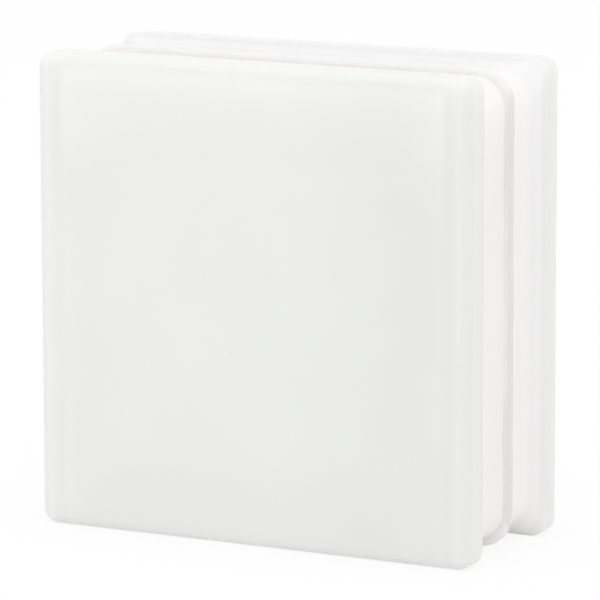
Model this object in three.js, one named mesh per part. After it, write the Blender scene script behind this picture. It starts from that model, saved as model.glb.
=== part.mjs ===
// Hollow glass block for walls and partitions, in opal white glass.
//
// The block is two pressed half shells, each an open pan with a thick face plate and a thinner
// edge wall. The pans are fused rim to rim at mid thickness, so the cavity between them is closed,
// and the fused glass stands out as a low bead all the way round. Each face plate ends in a rim
// that stands proud of the edge wall. Between the two rims runs the channel that takes the mortar.
//
// Millimetres. X is the width, Y the thickness and Z is up. The origin is the middle of the
// underside: the block stands on its two lower rims, with its front face towards -Y.

import * as THREE from "three";

// Driving dimensions: the block's outside.
const BLOCK_WIDTH = 190;
const BLOCK_HEIGHT = 190;
const BLOCK_DEPTH = 80;

// The rim round each face.
const FACE_CORNER = 2.7;
const FACE_FILLET = 2.3;
const LAND_WIDTH = 9.2;
const SHOULDER_RADIUS = 1.5;
const FLANK_ANGLE = 50;
const FLANK_FOOT_RADIUS = 6;

// The mortar channel, and the bead of fused glass along its middle.
const CHANNEL_DEPTH = 4.5;
const CHANNEL_CORNER = 12.5;
const BEAD_WIDTH = 3.4;
const BEAD_HEIGHT = 3.2;
const BEAD_CORNER = 13.5;
const BEAD_FOOT_RADIUS = 0.6;

// The glass itself, and the cavity that it leaves.
const FACE_PLATE = 8;
const EDGE_WALL = 7;
const CAVITY_DRAFT = 1.5;
const CAVITY_FILLET = 6;
const CAVITY_FLOOR_CORNER = 2;

// How finely the round stretches are cut into flats.
const CORNER_STEPS = 10;
const FILLET_STEPS = 6;
const SMALL_FILLET_STEPS = 3;

// Opal glass: a slightly warm white, polished by the fire.
const OPAL_WHITE = 0xecedea;
const GLASS_ROUGHNESS = 0.12;

// Worked out from the sizes above.
const HALF_DEPTH = BLOCK_DEPTH / 2;
const RIM_CORNER = FACE_CORNER + FACE_FILLET;
const LAND_END = FACE_FILLET + LAND_WIDTH;
const BEAD_RADIUS = BEAD_WIDTH / 2;
const BEAD_TOP = CHANNEL_DEPTH - BEAD_HEIGHT;
const CAVITY_MOUTH = CHANNEL_DEPTH + EDGE_WALL;

const radians = THREE.MathUtils.degToRad;

// A section point has a depth, measured in from the face, and an inset, measured in from the
// block's outer planes. An arc turns from one angle to another about its centre.
function arc(centreDepth, centreInset, radius, fromAngle, toAngle, steps) {
  const points = [];
  for (let step = 0; step <= steps; step += 1) {
    const angle = radians(THREE.MathUtils.lerp(fromAngle, toAngle, step / steps));
    const depth = centreDepth + radius * Math.cos(angle);
    const inset = centreInset + radius * Math.sin(angle);
    points.push({ depth, inset });
  }
  return points;
}

// Each stretch of the section says how round the block's corners are at each of its points.
function withCorners(points, cornerAt) {
  return points.map((point) => ({ ...point, corner: cornerAt(point.inset) }));
}

// The rim: the rounded face edge, the flat land that the block stands on, and the rounded shoulder
// behind it. Its corners stay concentric.
function rimSection() {
  const edge = arc(FACE_FILLET, FACE_FILLET, FACE_FILLET, 180, 270, FILLET_STEPS);
  const shoulder = arc(LAND_END, SHOULDER_RADIUS, SHOULDER_RADIUS, 270, 270 + FLANK_ANGLE,
    SMALL_FILLET_STEPS);
  return withCorners([...edge, ...shoulder], (inset) => RIM_CORNER - inset);
}

// The flank slopes from the shoulder down to the channel floor and eases out into it, while the
// block's corners grow rounder.
function flankSection(shoulderEnd) {
  const turn = 1 - Math.cos(radians(FLANK_ANGLE));
  const footRise = FLANK_FOOT_RADIUS * turn;
  const slopeDrop = CHANNEL_DEPTH - footRise - shoulderEnd.inset;
  const slopeRun = slopeDrop / Math.tan(radians(FLANK_ANGLE));
  const footRun = FLANK_FOOT_RADIUS * Math.sin(radians(FLANK_ANGLE));
  const footEnd = shoulderEnd.depth + slopeRun + footRun;
  const foot = arc(footEnd, CHANNEL_DEPTH - FLANK_FOOT_RADIUS, FLANK_FOOT_RADIUS,
    90 + FLANK_ANGLE, 90, FILLET_STEPS);
  const cornerAt = (inset) => {
    const share = THREE.MathUtils.smoothstep(inset, shoulderEnd.inset, CHANNEL_DEPTH);
    return THREE.MathUtils.lerp(shoulderEnd.corner, CHANNEL_CORNER, share);
  };
  return withCorners(foot, cornerAt);
}

// Half of the bead: a small hollow at its foot, which is no larger than the bead's side leaves
// room for, then a quarter of its round crown.
function beadSection() {
  const side = HALF_DEPTH - BEAD_RADIUS;
  const footRadius = Math.min(BEAD_FOOT_RADIUS, BEAD_HEIGHT - BEAD_RADIUS);
  const foot = arc(side - footRadius, CHANNEL_DEPTH - footRadius, footRadius, 90, 0,
    SMALL_FILLET_STEPS);
  const crown = arc(HALF_DEPTH, BEAD_TOP + BEAD_RADIUS, BEAD_RADIUS, 180, 270, FILLET_STEPS);
  const cornerAt = (inset) => {
    const rise = (CHANNEL_DEPTH - inset) / BEAD_HEIGHT;
    return THREE.MathUtils.lerp(CHANNEL_CORNER, BEAD_CORNER, rise);
  };
  return withCorners([...foot, ...crown], cornerAt);
}

// The pan's inside: its mouth at the fused joint, the drafted wall, and the large fillet down to
// the back of the face plate.
function cavitySection() {
  const draft = radians(CAVITY_DRAFT);
  const filletDepth = FACE_PLATE + CAVITY_FILLET;
  const wallRun = HALF_DEPTH - filletDepth + CAVITY_FILLET * Math.sin(draft);
  const floorInset = CAVITY_MOUTH + wallRun * Math.tan(draft) + CAVITY_FILLET * Math.cos(draft);
  const mouth = { depth: HALF_DEPTH, inset: CAVITY_MOUTH };
  const fillet = arc(filletDepth, floorInset, CAVITY_FILLET, 270 - CAVITY_DRAFT, 180, FILLET_STEPS);
  const cornerAt = (inset) => CAVITY_FLOOR_CORNER + floorInset - inset;
  return withCorners([mouth, ...fillet], cornerAt);
}

// The whole section of a half shell, from the edge of its flat face round to its cavity floor.
function halfSection() {
  const rim = rimSection();
  const flank = flankSection(rim.at(-1));
  return [...rim, ...flank, ...beadSection(), ...cavitySection()];
}

// The closed outline of the block at one section point: a rectangle with round corners, which
// runs anticlockwise as seen from the front.
function outline(point, side) {
  const x = BLOCK_WIDTH / 2 - point.inset - point.corner;
  const z = BLOCK_HEIGHT / 2 - point.inset - point.corner;
  const y = side * (HALF_DEPTH - point.depth);
  const centres = [[x, z], [-x, z], [-x, -z], [x, -z]];
  const loop = [];
  centres.forEach(([centreX, centreZ], quarter) => {
    for (let step = 0; step <= CORNER_STEPS; step += 1) {
      const angle = (quarter + step / CORNER_STEPS) * Math.PI / 2;
      const outX = point.corner * Math.cos(angle);
      const outZ = point.corner * Math.sin(angle);
      loop.push(new THREE.Vector3(centreX + outX, y, centreZ + outZ));
    }
  });
  return loop;
}

// The triangles between two neighbouring outlines.
function band(first, second, count) {
  const triangles = [];
  for (let k = 0; k < count; k += 1) {
    const next = (k + 1) % count;
    triangles.push([first + k, second + k, second + next]);
    triangles.push([first + k, second + next, first + next]);
  }
  return triangles;
}

// The triangles of a flat end, round its middle vertex.
function cap(middle, first, count) {
  const triangles = [];
  for (let k = 0; k < count; k += 1) {
    const next = (k + 1) % count;
    triangles.push([middle, first + k, first + next]);
  }
  return triangles;
}

const flip = ([a, b, c]) => [a, c, b];

// One closed half shell, skinned over its outlines. side is -1 for the front and 1 for the back.
function halfShellGeometry(side) {
  const section = halfSection();
  const loops = section.map((point) => outline(point, side));
  const count = loops[0].length;
  const faceMiddle = loops.length * count;
  const floorMiddle = faceMiddle + 1;
  const vertices = loops.flat();
  vertices.push(new THREE.Vector3(0, side * HALF_DEPTH, 0));
  vertices.push(new THREE.Vector3(0, side * (HALF_DEPTH - FACE_PLATE), 0));

  const triangles = cap(faceMiddle, 0, count);
  for (let k = 0; k + 1 < loops.length; k += 1) {
    triangles.push(...band(k * count, (k + 1) * count, count));
  }
  triangles.push(...cap(floorMiddle, (loops.length - 1) * count, count).map(flip));

  const facing = side < 0 ? triangles : triangles.map(flip);
  const geometry = new THREE.BufferGeometry().setFromPoints(vertices);
  geometry.setIndex(facing.flat());
  geometry.computeVertexNormals();
  return geometry;
}

function halfShell(name, side) {
  const material = new THREE.MeshStandardMaterial({
    color: OPAL_WHITE,
    roughness: GLASS_ROUGHNESS,
    metalness: 0,
  });
  const mesh = new THREE.Mesh(halfShellGeometry(side), material);
  mesh.name = name;
  return mesh;
}

const glassBlock = new THREE.Group();
glassBlock.add(halfShell("front_half", -1));
glassBlock.add(halfShell("back_half", 1));
glassBlock.position.z = BLOCK_HEIGHT / 2;

export default glassBlock;
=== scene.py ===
# %% [markdown]
# # A hollow glass block in opal white glass
#
# A glass block is a building brick made of glass. It is pressed as two square pans, and the two
# pans are fused rim to rim while their edges are still soft. This notebook dresses the packed
# solids of such a block: it models the glass again with rounder edges and the small unevenness of
# fused glass, makes it milky, paints its edge, and sets it in a plain white studio.
#
# Blender works in metres here. The block stands on z = 0, its width runs along x, its thickness
# along y, and its front face looks towards -y.

from math import cos, radians, sin, sqrt, tan

import bmesh
import bpy
from mathutils import Matrix, Vector, noise


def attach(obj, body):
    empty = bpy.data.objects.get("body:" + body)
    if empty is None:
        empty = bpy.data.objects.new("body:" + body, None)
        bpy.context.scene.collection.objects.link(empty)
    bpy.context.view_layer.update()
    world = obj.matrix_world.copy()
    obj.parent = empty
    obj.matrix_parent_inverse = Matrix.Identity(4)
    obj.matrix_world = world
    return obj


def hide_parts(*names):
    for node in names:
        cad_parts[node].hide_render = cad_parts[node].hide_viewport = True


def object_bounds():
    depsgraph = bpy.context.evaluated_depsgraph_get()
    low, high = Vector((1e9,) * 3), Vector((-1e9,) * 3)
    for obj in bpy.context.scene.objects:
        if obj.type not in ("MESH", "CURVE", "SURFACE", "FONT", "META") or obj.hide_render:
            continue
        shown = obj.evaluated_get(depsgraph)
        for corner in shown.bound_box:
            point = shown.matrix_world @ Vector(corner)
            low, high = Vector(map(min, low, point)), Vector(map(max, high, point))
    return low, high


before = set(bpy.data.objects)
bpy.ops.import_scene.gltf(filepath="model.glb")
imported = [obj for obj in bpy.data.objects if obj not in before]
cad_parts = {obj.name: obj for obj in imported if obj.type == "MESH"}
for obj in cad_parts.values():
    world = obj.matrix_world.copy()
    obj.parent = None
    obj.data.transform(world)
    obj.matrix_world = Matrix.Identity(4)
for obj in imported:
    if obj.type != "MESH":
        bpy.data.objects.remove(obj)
cad_low, cad_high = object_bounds()
MM = 0.001
print("nodes:", sorted(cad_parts))
print("CAD box in mm:", [round(size / MM, 2) for size in cad_high - cad_low])

# %% [markdown]
# ## The section of one pan
#
# Every part of the block's edge follows from one line: the section through the wall of a pan. It
# starts on the flat face, turns round the face's edge, runs along the flat land that the block
# stands on, drops down a sloping flank into the mortar channel, and climbs the bead where the two
# pans are fused. The section could also be drawn by hand as a curve, but then it would not follow
# when a size changes, so it is worked out from the sizes.
#
# A point of the section has a depth, measured in from the face, an inset, measured in from the
# block's outer planes, and a corner, which is how round the block's four corners are there. All are
# real sizes in millimetres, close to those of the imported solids. Fire polishing rounds an edge, so
# the edge of the face is rounder here, with a narrower land to make up for it, and so is the foot
# of the bead. The arcs are cut finer too.

# %% Sizes in millimetres
SIDE = (cad_high.x - cad_low.x) / MM
THICKNESS = (cad_high.y - cad_low.y) / MM
HALF_SIDE = SIDE / 2
HALF_THICKNESS = THICKNESS / 2

FACE_CORNER = 2.8
FACE_FILLET = 3.6
LAND_WIDTH = 7.9
SHOULDER_RADIUS = 1.5
FLANK_ANGLE = 50
FLANK_FOOT_RADIUS = 6
CHANNEL_DEPTH = 4.5
CHANNEL_CORNER = 12.5
BEAD_RADIUS = 1.7
BEAD_HEIGHT = 3.2
BEAD_FOOT_RADIUS = 1.0
BEAD_CORNER = 13.5
print("side", round(SIDE, 2), "thickness", round(THICKNESS, 2))

# %% An arc of the section
def arc(centre_depth, centre_inset, radius, start, end, steps):
    """Points of a round stretch, from one angle to another about its centre."""
    points = []
    for step in range(steps + 1):
        angle = radians(start + (end - start) * step / steps)
        depth = centre_depth + radius * cos(angle)
        points.append((depth, centre_inset + radius * sin(angle)))
    return points


def ease(share):
    """0 to 1 with a soft start and a soft stop."""
    share = min(max(share, 0), 1)
    return share * share * (3 - 2 * share)


# %% The face, the rim and its shoulder
# Outlines on the face, as shares of the way from its middle to its rounded edge.
FACE_RINGS = (0.02, 0.2, 0.4, 0.6, 0.75, 0.86, 0.93, 0.965, 0.985, 0.995)
EDGE_STEPS = 14
SHOULDER_STEPS = 8
# An outline this close to each end of a flat stretch keeps its shading flat.
LAND_MARGIN = 0.15


def face_section():
    """The flat face, from near its middle out to where its rounded edge starts."""
    stretch = HALF_SIDE - FACE_FILLET
    return [(0, HALF_SIDE - stretch * share, FACE_CORNER * share) for share in FACE_RINGS]


def rim_section():
    """The rounded face edge, the land, and the shoulder behind it."""
    land_end = FACE_FILLET + LAND_WIDTH
    edge = arc(FACE_FILLET, FACE_FILLET, FACE_FILLET, 180, 270, EDGE_STEPS)
    land = [(FACE_FILLET + LAND_MARGIN, 0), (land_end - LAND_MARGIN, 0)]
    shoulder = arc(
        land_end, SHOULDER_RADIUS, SHOULDER_RADIUS, 270, 270 + FLANK_ANGLE, SHOULDER_STEPS)
    corner = FACE_CORNER + FACE_FILLET
    return [(depth, inset, corner - inset) for depth, inset in edge + land + shoulder]


# %% The flank and the channel floor
FLANK_FOOT_STEPS = 12
# Outlines on the channel floor, measured from where the flank ends.
FLOOR_RINGS = (3, 10)


def flank_section(start):
    """The slope from the shoulder down to the channel floor, and the floor up to the bead."""
    start_depth, start_inset, start_corner = start
    rise = FLANK_FOOT_RADIUS * (1 - cos(radians(FLANK_ANGLE)))
    run = (CHANNEL_DEPTH - rise - start_inset) / tan(radians(FLANK_ANGLE))
    foot_end = start_depth + run + FLANK_FOOT_RADIUS * sin(radians(FLANK_ANGLE))
    foot_centre = CHANNEL_DEPTH - FLANK_FOOT_RADIUS
    points = arc(
        foot_end, foot_centre, FLANK_FOOT_RADIUS, 90 + FLANK_ANGLE, 90, FLANK_FOOT_STEPS)
    points += [(foot_end + ring, CHANNEL_DEPTH) for ring in FLOOR_RINGS]
    section = []
    for depth, inset in points:
        share = ease((inset - start_inset) / (CHANNEL_DEPTH - start_inset))
        corner = start_corner + (CHANNEL_CORNER - start_corner) * share
        section.append((depth, inset, corner))
    return section


# %% The bead
BEAD_FOOT_STEPS = 8
CROWN_STEPS = 16
BEAD_MARGIN = 0.4


def bead_section():
    """Half of the bead: the hollow at its foot, its side and a quarter of its round crown."""
    foot = min(BEAD_FOOT_RADIUS, BEAD_HEIGHT - BEAD_RADIUS)
    side = HALF_THICKNESS - BEAD_RADIUS
    crown = CHANNEL_DEPTH - BEAD_HEIGHT + BEAD_RADIUS
    points = [(side - foot - BEAD_MARGIN, CHANNEL_DEPTH)]
    points += arc(side - foot, CHANNEL_DEPTH - foot, foot, 90, 0, BEAD_FOOT_STEPS)
    points += arc(HALF_THICKNESS, crown, BEAD_RADIUS, 180, 270, CROWN_STEPS)
    section = []
    for depth, inset in points:
        share = (CHANNEL_DEPTH - inset) / BEAD_HEIGHT
        corner = CHANNEL_CORNER + (BEAD_CORNER - CHANNEL_CORNER) * share
        section.append((depth, inset, corner))
    return section


rim = rim_section()
print("the shoulder ends", round(rim[-1][0], 2), "mm behind the face")

# %% [markdown]
# ## Skinning the glass
#
# Each section point stands for one outline all the way round the block: a square with round
# corners. The first outline is made by bevelling the four vertices of a small square in the middle
# of the face. From then on the open edge is extruded again and again, and each new outline is
# resized to the next section point, as one would with E and S in the editor.
#
# Every vertex of an outline is a point of an inner square plus a short arm, as long as the corner
# radius. Resizing the inner square and the arms on their own lets the corners grow rounder on the
# way down into the channel, which bevelling a whole cube could not do.

# %% The first outline
CORNER_CUTS = 16
SIDE_CUTS = 30


def first_outline(bm, depth, inset, corner):
    """A flat square with round corners, its long edges cut finer. Returns its edges.

    A circle of four segments is a square that stands on a corner, so it is turned first."""
    half = HALF_SIDE - inset
    square = bmesh.ops.create_circle(bm, cap_ends=True, segments=4, radius=half * sqrt(2) * MM)
    bmesh.ops.rotate(bm, verts=square["verts"], matrix=Matrix.Rotation(radians(45), 3, "Z"))
    bmesh.ops.bevel(
        bm, geom=square["verts"], affect="VERTICES", offset_type="OFFSET",
        offset=corner * MM, segments=CORNER_CUTS, profile=0.5, material=-1)
    sides = sorted(bm.edges, key=lambda edge: edge.calc_length())[-4:]
    bmesh.ops.subdivide_edges(bm, edges=sides, cuts=SIDE_CUTS)
    bmesh.ops.rotate(bm, verts=bm.verts, matrix=Matrix.Rotation(radians(90), 3, "X"))
    middle = Vector((0, (depth - HALF_THICKNESS) * MM, HALF_SIDE * MM))
    bmesh.ops.translate(bm, verts=bm.verts, vec=middle)
    return list(bm.edges)


# %% The next outline
def resize(verts, old, new):
    """Moves an outline's vertices from one section point to the next."""
    old_core, new_core = (HALF_SIDE - point[1] - point[2] for point in (old, new))
    for vert in verts:
        across = (vert.co.x / MM, vert.co.z / MM - HALF_SIDE)
        core = [min(max(value, -old_core), old_core) for value in across]
        moved = [
            c * new_core / old_core + (value - c) * new[2] / old[2]
            for c, value in zip(core, across)]
        vert.co = Vector((moved[0], new[0] - HALF_THICKNESS, moved[1] + HALF_SIDE)) * MM


def skin_over(points):
    """A closed skin over the outlines of all these section points, facing out."""
    bm = bmesh.new()
    edges = first_outline(bm, *points[0])
    for old, new in zip(points, points[1:]):
        grown = bmesh.ops.extrude_edge_only(bm, edges=edges)["geom"]
        resize([part for part in grown if isinstance(part, bmesh.types.BMVert)], old, new)
        grown = [part for part in grown if isinstance(part, bmesh.types.BMEdge)]
        edges = [edge for edge in grown if len(edge.link_faces) == 1]
    bmesh.ops.edgeloop_fill(bm, edges=edges)
    bmesh.ops.recalc_face_normals(bm, faces=bm.faces)
    return bm


# %% [markdown]
# ## The fused block
#
# Both pans come from one mould, so the back of the section is its front in reverse. Once they are
# fused they are one piece of glass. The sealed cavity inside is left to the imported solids: nobody
# can see into it through opal glass, and light that wanders through one closed body leaves no dark
# seam where two bodies would meet.

# %% Outer skin
def with_back(points):
    """The section of the front pan, followed by the same section of the back pan."""
    mirrored = [(THICKNESS - depth, inset, corner) for depth, inset, corner in points[::-1]]
    return points + mirrored[1:]


outer = skin_over(with_back(face_section() + rim + flank_section(rim[-1]) + bead_section()))
print(len(outer.verts), "vertices in the skin")

# %% [markdown]
# ## An uneven bead
#
# The bead is glass that was squeezed out while it was soft, so it is never ruled straight: it
# wanders a little from side to side and stands up a little more in one place than in the next. A
# bump in the material would not change its outline, so its vertices are moved, by a smooth noise
# whose waves are measured in millimetres. The rise is only ever outwards, and past the bead's foot
# both movements fade to nothing.

# %% Wander and rise of the bead
BEAD_WAVE = 17.0
BEAD_WANDER = 0.25
BEAD_RISE = 0.5
BEAD_FADE = 3
# The rise reads the noise far from where the wander reads it, so that the two don't go together.
RISE_OFFSET = Vector((31, 7, 19))


def bead_share(vert):
    """1 on the bead, fading to 0 over the channel floor beside it."""
    return 1 - ease((abs(vert.co.y) / MM - BEAD_RADIUS) / BEAD_FADE)


def raise_outline(vert, amount):
    """Moves a vertex away from the block's middle line, square to the edge it lies on."""
    across = Vector((vert.co.x, 0, vert.co.z - HALF_SIDE * MM))
    vert.co += across * amount * MM / max(abs(across.x), abs(across.z))


for vert in outer.verts:
    share = bead_share(vert)
    if share > 0:
        spot = vert.co / (BEAD_WAVE * MM)
        spot.y = 0
        vert.co.y += noise.noise(spot) * BEAD_WANDER * MM * share
        rise = 0.5 + 0.5 * noise.noise(spot + RISE_OFFSET)
        raise_outline(vert, BEAD_RISE * rise * share)
print("the bead rises by up to", BEAD_RISE, "mm and wanders by up to", BEAD_WANDER, "mm")

# %% [markdown]
# ## One piece for two pans
#
# The skin is smooth all over, so its faces are shaded smooth. The finished piece moves with the
# block's one body and stands for both packed half shells, which are hidden. The half shells could be
# shown as they are, but then a seam would cut through the bead.

# %% The piece
CUBIC_CENTIMETRE = (10 * MM) ** 3


def add_object(name, data):
    """A new object at the origin, linked into the scene."""
    thing = bpy.data.objects.new(name, data)
    bpy.context.scene.collection.objects.link(thing)
    return thing


for face in outer.faces:
    face.smooth = True
block_mesh = bpy.data.meshes.new("glass_block")
outer.to_mesh(block_mesh)
volume = outer.calc_volume(signed=True) / CUBIC_CENTIMETRE
outer.free()

glass_block = add_object("glass_block", block_mesh)
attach(glass_block, "root")
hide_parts("front_half", "back_half")
print("the skin holds", round(volume, 1), "cm3, its sealed cavity included")

# %% [markdown]
# ## Opal glass
#
# Opal glass is white all through: tiny crystals in the glass scatter the light, so a ray that goes
# in comes out again a centimetre or two away. Its skin is fire polished, smooth and glossy. That
# gives soft edges between light and shade, a glow along edges that face the light, and clear but
# weak reflections on top. A plain white diffuse colour would look like plaster, so the light is
# let into the glass.

# %% Helpers for materials
def linear(hex_colour):
    """An sRGB hex colour as linear red, green, blue and alpha, by the curve of the standard."""
    channels = [int(hex_colour[k:k + 2], 16) / 255 for k in (1, 3, 5)]
    toned = [c / 12.92 if c <= 0.04045 else ((c + 0.055) / 1.055) ** 2.4 for c in channels]
    return (*toned, 1.0)


def add_node(tree, kind, settings=None, **links):
    """A new node with its settings. A link names an input, or its number after an i."""
    node = tree.nodes.new(kind)
    for key, value in (settings or {}).items():
        setattr(node, key, value)
    for key, value in links.items():
        numbered = key[0] == "i" and key[1:].isdigit()
        plug = node.inputs[int(key[1:]) if numbered else key.replace("_", " ")]
        if isinstance(value, bpy.types.Node):
            value = next(output for output in value.outputs if output.enabled)
        if isinstance(value, bpy.types.NodeSocket):
            tree.links.new(value, plug)
        else:
            plug.default_value = value
    return node


def new_material(name):
    """A material with no nodes in it yet, and the tree that they go into."""
    material = bpy.data.materials.new(name)
    material.use_nodes = True
    material.node_tree.nodes.clear()
    return material, material.node_tree


# %% [markdown]
# ## Where each finish lies
#
# One skin carries the finishes of the whole block. The two faces and the rims are bare glass. The
# channel is rolled with white paint, which mortar keys to, and the fused bead along its middle is
# bare again. They could be separate materials on separate sets of faces, but then each border would
# follow the mesh. Here masks on the object's own coordinates say where each finish lies, so a
# border can be soft or a little ragged.
#
# The masks are measured from the block's mid thickness, from its nearer upright side, and from its
# top and its underside.

# %% Distances on the block
opal_glass, tree = new_material("opal_glass")
where = add_node(tree, "ShaderNodeTexCoord").outputs["Object"]
axes = add_node(tree, "ShaderNodeSeparateXYZ", i0=where)
ABSOLUTE, SUBTRACT = {"operation": "ABSOLUTE"}, {"operation": "SUBTRACT"}
ADD, MULTIPLY = {"operation": "ADD"}, {"operation": "MULTIPLY"}
MINIMUM, MAXIMUM = {"operation": "MINIMUM"}, {"operation": "MAXIMUM"}
SMOOTH_MINIMUM = {"operation": "SMOOTH_MIN"}
SMOOTHLY = {"interpolation_type": "SMOOTHSTEP"}

off_middle = add_node(tree, "ShaderNodeMath", ABSOLUTE, i0=axes.outputs[1])
off_centre = add_node(tree, "ShaderNodeMath", ABSOLUTE, i0=axes.outputs[0])
side_gap = add_node(tree, "ShaderNodeMath", SUBTRACT, i0=HALF_SIDE * MM, i1=off_centre)


def fade_over(band, low=0.0, high=1.0):
    """Map Range inputs that go from low to high while millimetres go over a band."""
    return {"i1": band[0] * MM, "i2": band[1] * MM, "i3": low, "i4": high}


# %% [markdown]
# The paint ends on the shoulder of the rim, along a line that the roller leaves a little ragged.
# Over the channel floor its white is painted brighter, as painted light that lifts the floor out of
# its shade;
# the flank keeps the plain paint white, and the shoulder is a shade greyer.
# Noise added to the distance, and not to the colour, makes the line itself ragged.

# %% Masks of the paint
PAINT_EDGE = (28.9, 28.3)
PAINT_RAGGED = 0.5
PAINT_RAGGED_SIZE = 7.0
FLOOR_LIGHT_BAND = (27.0, 16.5)
SHOULDER_GREY_BAND = (25.4, 27.4)

ragged = add_node(
    tree, "ShaderNodeTexNoise", Vector=where, Scale=1 / (PAINT_RAGGED_SIZE * MM), Detail=2)
ragged = add_node(tree, "ShaderNodeMath", SUBTRACT, i0=ragged, i1=0.5)
ragged = add_node(tree, "ShaderNodeMath", MULTIPLY, i0=ragged, i1=PAINT_RAGGED * MM)
ragged = add_node(tree, "ShaderNodeMath", ADD, i0=off_middle, i1=ragged)
paint = add_node(tree, "ShaderNodeMapRange", SMOOTHLY, i0=ragged, **fade_over(PAINT_EDGE))
# Painted light: a mask over the channel floor, where a brighter white lifts its shade.
painted_floor_light = add_node(tree, "ShaderNodeMapRange", SMOOTHLY, i0=off_middle, **fade_over(FLOOR_LIGHT_BAND))
shoulder_grey = add_node(tree, "ShaderNodeMapRange", SMOOTHLY, i0=off_middle, **fade_over(SHOULDER_GREY_BAND))
print("the paint ends about", PAINT_EDGE[0], "mm from mid thickness")

# %% [markdown]
# The bead stands up out of the paint and is laid greyer, fully on the block's upright sides and half
# as much along the top and the underside.

# %% Mask of the bead
BEAD_BARE = (2.35, 1.6)
BEAD_UPRIGHT = (3.6, 1.7)
BEAD_LEVEL_SHARE = 0.5

bead = add_node(tree, "ShaderNodeMapRange", SMOOTHLY, i0=off_middle, **fade_over(BEAD_BARE))
bead_upright = add_node(
    tree, "ShaderNodeMapRange", SMOOTHLY, i0=side_gap,
    **fade_over(BEAD_UPRIGHT, low=BEAD_LEVEL_SHARE))
bead = add_node(tree, "ShaderNodeMath", MULTIPLY, i0=bead, i1=bead_upright)
print("the bare bead is about", 2 * BEAD_BARE[1], "to", 2 * BEAD_BARE[0], "mm wide")

# %% [markdown]
# A face is not one white, and the whites laid on it here are painted light and shade. Near its edges
# the white is painted a little darker and more neutral than in the middle, for light that has come
# in through the paint-coated edge walls, where the middle shows light that has gone through more of
# the glass. Below the top, where most light comes in, a brighter neutral white is painted further
# down, as painted top light. Close to the sides and the top the glass is painted a shade greyer, and
# the rounded skin of the upright edges greyer still, as painted shade that tones their light down.
# Where an edge wall stands behind the face, a faint upright band of painted shade runs along each
# side.
#
# These could be separate materials, but they fade into each other over centimetres. Each is a mask
# that goes from 0 to 1 over a band of millimetres. A smooth minimum of the two distances keeps the
# outermost one round at the corners of the face.

# %% Masks of the faces
EDGE_TINT_BAND = (45.0, 12.0)
TOP_LIGHT_BAND = (58.0, 22.0)
RIM_SHADE_BAND = (9.0, 2.0)
CORNER_BLEND = 20.0

height = add_node(tree, "ShaderNodeMath", SUBTRACT, i0=axes.outputs[2], i1=HALF_SIDE * MM)
height = add_node(tree, "ShaderNodeMath", ABSOLUTE, i0=height)
level_gap = add_node(tree, "ShaderNodeMath", SUBTRACT, i0=HALF_SIDE * MM, i1=height)
edge_gap = add_node(
    tree, "ShaderNodeMath", SMOOTH_MINIMUM, i0=side_gap, i1=level_gap, i2=CORNER_BLEND * MM)
# Painted tint and shade: a darker, more neutral white near the face's edges.
painted_edge_tint = add_node(tree, "ShaderNodeMapRange", SMOOTHLY, i0=edge_gap, **fade_over(EDGE_TINT_BAND))
top_gap = add_node(tree, "ShaderNodeMath", SUBTRACT, i0=SIDE * MM, i1=axes.outputs[2])
# Painted light: below the top a brighter white reaches further down the face.
painted_top_light = add_node(tree, "ShaderNodeMapRange", SMOOTHLY, i0=top_gap, **fade_over(TOP_LIGHT_BAND))
# Painted shade: the glass is a shade greyer close to the sides and the top.
nearest = add_node(tree, "ShaderNodeMath", MINIMUM, i0=side_gap, i1=top_gap)
painted_rim_shade = add_node(tree, "ShaderNodeMapRange", SMOOTHLY, i0=nearest, **fade_over(RIM_SHADE_BAND))

# %% Masks of the edge walls and the rounded edges
WALL_BAND = (13.5, 9.0)
WALL_OUTSIDE = (2.0, 4.4)
SKIN_EDGE = (5.0, 1.5)
SKIN_START = (35.6, 37.8)

# Painted shade: a faint greyer upright band where an edge wall stands behind the face.
inside = add_node(tree, "ShaderNodeMapRange", SMOOTHLY, i0=side_gap, **fade_over(WALL_BAND))
outside = add_node(tree, "ShaderNodeMapRange", SMOOTHLY, i0=side_gap, **fade_over(WALL_OUTSIDE))
wall = add_node(tree, "ShaderNodeMath", MULTIPLY, i0=inside, i1=outside)

# Painted shade: the rounded upright edges are laid greyer still, to tone their light down.
near_side = add_node(tree, "ShaderNodeMapRange", SMOOTHLY, i0=side_gap, **fade_over(SKIN_EDGE))
near_face = add_node(tree, "ShaderNodeMapRange", SMOOTHLY, i0=off_middle, **fade_over(SKIN_START))
skin = add_node(tree, "ShaderNodeMath", MULTIPLY, i0=near_side, i1=near_face)
print("a wall band runs", WALL_OUTSIDE[1], "to", WALL_BAND[1], "mm in from each side")

# %% [markdown]
# ## The colours
#
# Opal glass takes its white from fluoride crystals, and its faint green from the iron in the sand.
# It is never even: the melt is stirred, and slightly milkier and clearer threads, a few centimetres
# long, are pressed into the pan. Towards the right side the white is painted a little darker, as
# painted shade that tones down the light from the right. The paint is warmer and whiter than the
# glass.
# The bead is a shade greyer. The masks lay these whites over one another, one mix for each.

# %% Colour of the glass
FACE_WHITE = linear("#EDEEEC")
EDGE_WHITE = linear("#EAEAE9")
TOP_LIGHT_WHITE = linear("#EDEDEC")
RIM_SHADE_WHITE = linear("#E6E6E5")
WALL_SHADE_WHITE = linear("#E7E7E6")
FILLET_SHADE_WHITE = linear("#DFDFDE")
MIX = {"data_type": "RGBA"}

# After the glass colour, each white below is a painted tint, light or shade.
layers = [
    (painted_edge_tint, EDGE_WHITE), (painted_top_light, TOP_LIGHT_WHITE), (painted_rim_shade, RIM_SHADE_WHITE),
    (wall, WALL_SHADE_WHITE), (skin, FILLET_SHADE_WHITE)]
colour = FACE_WHITE
for mask, white in layers:
    colour = add_node(tree, "ShaderNodeMix", MIX, i0=mask, i6=colour, i7=white)
print(len(layers), "whites laid over the first")

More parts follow.
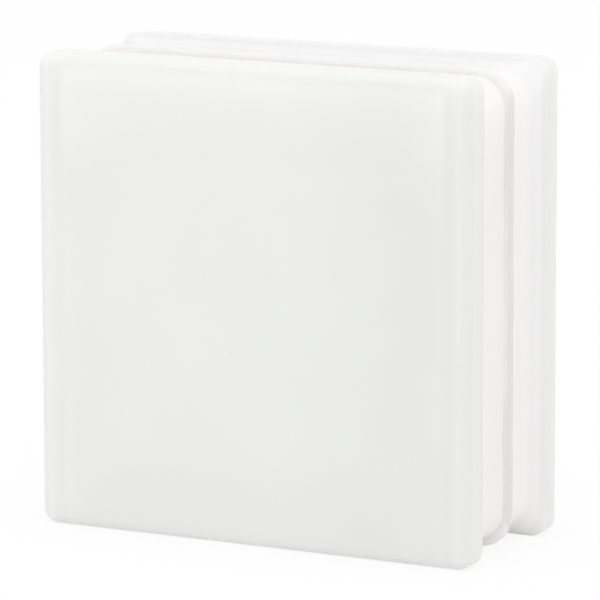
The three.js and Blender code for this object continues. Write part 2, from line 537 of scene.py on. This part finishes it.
# %% Threads in the glass
THREAD_SIZE = 42.0
THREAD_BREAKUP = 0.45
THREAD_SWIRL = 0.8
THREAD_LOSS = 0.985
RIGHT_SHADE_BAND = (5.0, 65.0)
RIGHT_SHADE_LOSS = 0.976
# Nearly all values of a noise texture lie between these two.
NOISE_SPAN = {"i1": 0.3, "i2": 0.7}

threads = add_node(
    tree, "ShaderNodeTexNoise", Vector=where, Scale=1 / (THREAD_SIZE * MM), Detail=3,
    Roughness=THREAD_BREAKUP, Distortion=THREAD_SWIRL)
threads = add_node(
    tree, "ShaderNodeMapRange", i0=threads, **NOISE_SPAN, i3=THREAD_LOSS, i4=1.0)
# Painted shade: the white is multiplied a little darker towards the right side. From here on,
# threads carries this painted shade as well as the threads.
painted_right_shade = add_node(
    tree, "ShaderNodeMapRange", SMOOTHLY, i0=axes.outputs[0],
    **fade_over(RIGHT_SHADE_BAND, low=1.0, high=RIGHT_SHADE_LOSS))
threads = add_node(tree, "ShaderNodeMath", MULTIPLY, i0=threads, i1=painted_right_shade)
colour = add_node(
    tree, "ShaderNodeMix", {**MIX, "blend_type": "MULTIPLY"}, i0=1.0, i6=colour, i7=threads)
print("threads", THREAD_SIZE, "mm long take up to", round(1 - THREAD_LOSS, 3), "of the white")

# %% Colour of the paint and the bead
PAINT_FLANK_WHITE = linear("#EDEDEE")
PAINT_FLOOR_LIGHT_WHITE = linear("#F8F4F2")
SHOULDER_GREY_WHITE = linear("#E3E2E2")
BEAD_GREY = linear("#CBCBCA")

# Painted light: the channel floor gets a brighter white than the flank.
paint_and_floor_light = add_node(tree, "ShaderNodeMix", MIX, i0=painted_floor_light, i6=PAINT_FLANK_WHITE, i7=PAINT_FLOOR_LIGHT_WHITE)
# The paint is a shade greyer on the shoulder.
paint_and_floor_light = add_node(tree, "ShaderNodeMix", MIX, i0=shoulder_grey, i6=paint_and_floor_light, i7=SHOULDER_GREY_WHITE)
colour = add_node(tree, "ShaderNodeMix", MIX, i0=paint, i6=colour, i7=paint_and_floor_light)
colour = add_node(tree, "ShaderNodeMix", MIX, i0=bead, i6=colour, i7=BEAD_GREY)
print("paint in linear light:", [round(channel, 3) for channel in PAINT_FLOOR_LIGHT_WHITE[:3]])

# %% [markdown]
# A few grey specks, of grit from the tank furnace and of scale from the mould, sit in the glass.
# Each could be a tiny solid, but a Voronoi pattern does as well for grains of half a millimetre: it
# has one point in each cell, and the dot round it is only a short distance wide.

# %% Specks
SPECK_GAP = 28.0
SPECK_RADIUS = 0.5
SPECK_CORE = 0.6
SPECK_SHARE = 0.4
SPECK_GREY = linear("#D2CEC6")

specks = add_node(tree, "ShaderNodeTexVoronoi", Vector=where, Scale=1 / (SPECK_GAP * MM))
speck_reach = SPECK_RADIUS / SPECK_GAP
specks = add_node(
    tree, "ShaderNodeMapRange", i0=specks.outputs["Distance"],
    i1=speck_reach, i2=speck_reach * SPECK_CORE, i3=0.0, i4=SPECK_SHARE)
colour = add_node(tree, "ShaderNodeMix", MIX, i0=specks, i6=colour, i7=SPECK_GREY)
print("specks", 2 * SPECK_RADIUS, "mm wide, about", SPECK_GAP, "mm apart")

# %% [markdown]
# ## Gloss and relief
#
# Glass has an index of refraction of 1.5. The faces were flamed after pressing, so they are smooth
# and glossy, with broad low waves that only show where something is mirrored. The paint dries
# satin, with a fine grain from the roller. The real grain is about 0.3 mm; it is drawn twice as
# coarse here, so that it can show. Waves and grain are far too low to change an outline, so both
# are bumps and not geometry.

# %% Roughness
GLASS_ROUGHNESS = 0.12
GLASS_ROUGHNESS_SPREAD = 0.03
POLISH_SIZE = 30.0
PAINT_ROUGHNESS = 0.5

polish = add_node(
    tree, "ShaderNodeTexNoise", Vector=where, Scale=1 / (POLISH_SIZE * MM), Detail=2)
polish = add_node(
    tree, "ShaderNodeMapRange", i0=polish, **NOISE_SPAN,
    i3=GLASS_ROUGHNESS - GLASS_ROUGHNESS_SPREAD, i4=GLASS_ROUGHNESS + GLASS_ROUGHNESS_SPREAD)
roughness = add_node(
    tree, "ShaderNodeMix", {"data_type": "FLOAT"}, i0=paint, i2=polish, i3=PAINT_ROUGHNESS)
print("roughness of the glass", GLASS_ROUGHNESS, "and of the paint", PAINT_ROUGHNESS)

# %% Relief
WAVE_SIZE = 16.0
WAVE_HEIGHT = 0.02
GRAIN_SIZE = 0.6
GRAIN_HEIGHT = 0.03

waves = add_node(tree, "ShaderNodeTexNoise", Vector=where, Scale=1 / (WAVE_SIZE * MM), Detail=1)
waves = add_node(
    tree, "ShaderNodeBump", Strength=1.0, Distance=WAVE_HEIGHT * MM, Height=waves)
grain = add_node(tree, "ShaderNodeTexNoise", Vector=where, Scale=1 / (GRAIN_SIZE * MM), Detail=2)
grain = add_node(tree, "ShaderNodeMath", MULTIPLY, i0=grain, i1=paint)
relief = add_node(
    tree, "ShaderNodeBump", Strength=1.0, Distance=GRAIN_HEIGHT * MM, Height=grain, Normal=waves)
print("waves", WAVE_HEIGHT, "mm high and paint grain", GRAIN_HEIGHT, "mm high")

# %% [markdown]
# ## Milkiness
#
# The light that goes into opal glass bounces about in it and comes out one or two centimetres
# away. A glass shader filled with a scattering volume could show it, but it renders slowly and
# grainily. Subsurface scattering does it on the surface, and Base Color is then the colour of the
# light that comes out. The radius is the same for red, green and blue, because the crystals are too
# coarse to prefer one of them.

# %% The glass
MILK_DEPTH = 18.0
GLASS_IOR = 1.5

body = add_node(
    tree, "ShaderNodeBsdfPrincipled",
    Base_Color=colour, Roughness=roughness, Normal=relief, IOR=GLASS_IOR,
    Subsurface_Weight=1.0, Subsurface_Radius=(1.0, 1.0, 1.0), Subsurface_Scale=MILK_DEPTH * MM)
add_node(tree, "ShaderNodeOutputMaterial", Surface=body)
block_mesh.materials.append(opal_glass)
print("material:", opal_glass.name, "with", len(tree.nodes), "nodes")

# %% [markdown]
# ## The studio
#
# A white floor and a white surround. What the camera and the glass see of them is a plain white;
# the floor still takes the block's soft shadow.
#
# The floor stands for a sheet of matt white paper that is lit all round. Such a floor lights the
# block from below, up into the lower channel. So it shines a little by itself for the light that
# reaches the block too, because stronger lamps would wash out the white faces first.

# %% What is seen plainly
def seen_plainly(tree):
    """1 for a ray from the camera, off a mirror or through glass, and 0 for any other light."""
    path = add_node(tree, "ShaderNodeLightPath")
    seen = add_node(
        tree, "ShaderNodeMath", MAXIMUM,
        i0=path.outputs["Is Camera Ray"], i1=path.outputs["Is Glossy Ray"])
    return add_node(
        tree, "ShaderNodeMath", MAXIMUM, i0=seen, i1=path.outputs["Is Transmission Ray"])


# %% Floor
FLOOR_METRES = 16.0
FLOOR_SHOWN_WHITE = 0.8
FLOOR_LIT_WHITE = 0.28
PAPER_WHITE = linear("#F2F2F0")
PURE_WHITE = linear("#FFFFFF")

bm = bmesh.new()
bmesh.ops.create_grid(bm, x_segments=1, y_segments=1, size=FLOOR_METRES / 2)
floor_mesh = bpy.data.meshes.new("floor")
bm.to_mesh(floor_mesh)
bm.free()
floor = add_object("floor", floor_mesh)

floor_paper, tree = new_material("matt_white_floor")
seen = seen_plainly(tree)
shining = add_node(
    tree, "ShaderNodeMapRange", i0=seen, i1=0.0, i2=1.0, i3=FLOOR_LIT_WHITE, i4=FLOOR_SHOWN_WHITE)
paper = add_node(tree, "ShaderNodeMix", MIX, i0=seen, i6=PAPER_WHITE, i7=PURE_WHITE)
matt = add_node(tree, "ShaderNodeBsdfDiffuse", Color=paper)
shine = add_node(tree, "ShaderNodeEmission", Color=PURE_WHITE, Strength=1.0)
both = add_node(tree, "ShaderNodeMixShader", i0=shining, i1=matt, i2=shine)
add_node(tree, "ShaderNodeOutputMaterial", Surface=both)
floor_mesh.materials.append(floor_paper)
print("floor", FLOOR_METRES, "m wide")

# %% Surround
SURROUND_LEVEL = 0.902

world = bpy.data.worlds.new("white_surround")
bpy.context.scene.world = world
world.use_nodes = True
tree = world.node_tree
tree.nodes.clear()
lit = add_node(tree, "ShaderNodeBackground", Color=PURE_WHITE, Strength=SURROUND_LEVEL)
shown = add_node(tree, "ShaderNodeBackground", Color=PURE_WHITE, Strength=1.0)
both = add_node(tree, "ShaderNodeMixShader", i0=seen_plainly(tree), i1=lit, i2=shown)
add_node(tree, "ShaderNodeOutputWorld", Surface=both)
print("surround at", SURROUND_LEVEL, "of white")

# %% [markdown]
# ## The lamps
#
# The surround gives most of the light, evenly from all round. Three large softboxes shape the
# block: one above, which keeps the top the brightest, and one on each side in front, the right one
# stronger, so that the edge wall on the right stands out from the face. Small lamps would draw hard
# shadows and sharp highlights that a white studio doesn't have.

# %% Lamps
# Each softbox has a place, a width and a height in metres, and a power in watts.
SOFTBOXES = {
    "top_softbox": ((0, -0.3, 2.6), 3.0, 3.0, 8.5),
    "right_softbox": ((2.0, -2.0, 1.0), 3.0, 2.0, 9.5),
    "left_softbox": ((-2.0, -2.0, 1.0), 3.0, 2.0, 3.2),
}
BLOCK_MIDDLE = (0, 0, HALF_SIDE * MM)


def soft_lamp(name, place, width, height, power):
    """A rectangular softbox, turned towards the middle of the block."""
    lamp = bpy.data.lights.new(name, "AREA")
    lamp.shape = "RECTANGLE"
    lamp.size = width
    lamp.size_y = height
    lamp.energy = power
    direction = Vector(BLOCK_MIDDLE) - Vector(place)
    turn = direction.to_track_quat("-Z", "Y").to_matrix().to_4x4()
    add_object(name, lamp).matrix_world = Matrix.Translation(place) @ turn


for name, softbox in SOFTBOXES.items():
    soft_lamp(name, *softbox)
print("lamps:", ", ".join(SOFTBOXES))

# %% [markdown]
# ## The camera
#
# A long lens, a little above the block and round to its right, which keeps the block's far edges
# nearly as large as its near ones. The angles are in degrees about the block's middle. Right and up
# are small offsets in metres that frame it, square to the line of sight. The focal length is given
# in pixels of the frame, because that doesn't depend on the size of the sensor.

# %% Camera
CAMERA_AZIMUTH = 27.94
CAMERA_ELEVATION = 10.29
CAMERA_ROLL = -0.15
CAMERA_DISTANCE = 1.921
CAMERA_RIGHT = 0.0009
CAMERA_UP = -0.0032
FRAME_PIXELS = 600
FOCAL_PIXELS = 4867
SENSOR = 36.0
CLIP = (0.1, 50)

azimuth, elevation = radians(CAMERA_AZIMUTH), radians(CAMERA_ELEVATION)
back = Vector((sin(azimuth) * cos(elevation), -cos(azimuth) * cos(elevation), sin(elevation)))
level = (-back).cross(Vector((0, 0, 1))).normalized()
upright = level.cross(-back).normalized()
roll = radians(CAMERA_ROLL)
right = level * cos(roll) + upright * sin(roll)
up = upright * cos(roll) - level * sin(roll)
place = Vector(BLOCK_MIDDLE) + back * CAMERA_DISTANCE + right * CAMERA_RIGHT + up * CAMERA_UP

lens = bpy.data.cameras.new("camera")
lens.sensor_width = SENSOR
lens.lens = FOCAL_PIXELS * SENSOR / FRAME_PIXELS
lens.clip_start, lens.clip_end = CLIP
camera = add_object("camera", lens)
turn = Matrix((right, up, back)).transposed().to_4x4()
camera.matrix_world = Matrix.Translation(place) @ turn
bpy.context.scene.camera = camera
bpy.context.scene.view_settings.view_transform = "Standard"
print("camera at", [round(v, 3) for v in place], "lens", round(lens.lens, 1), "mm")
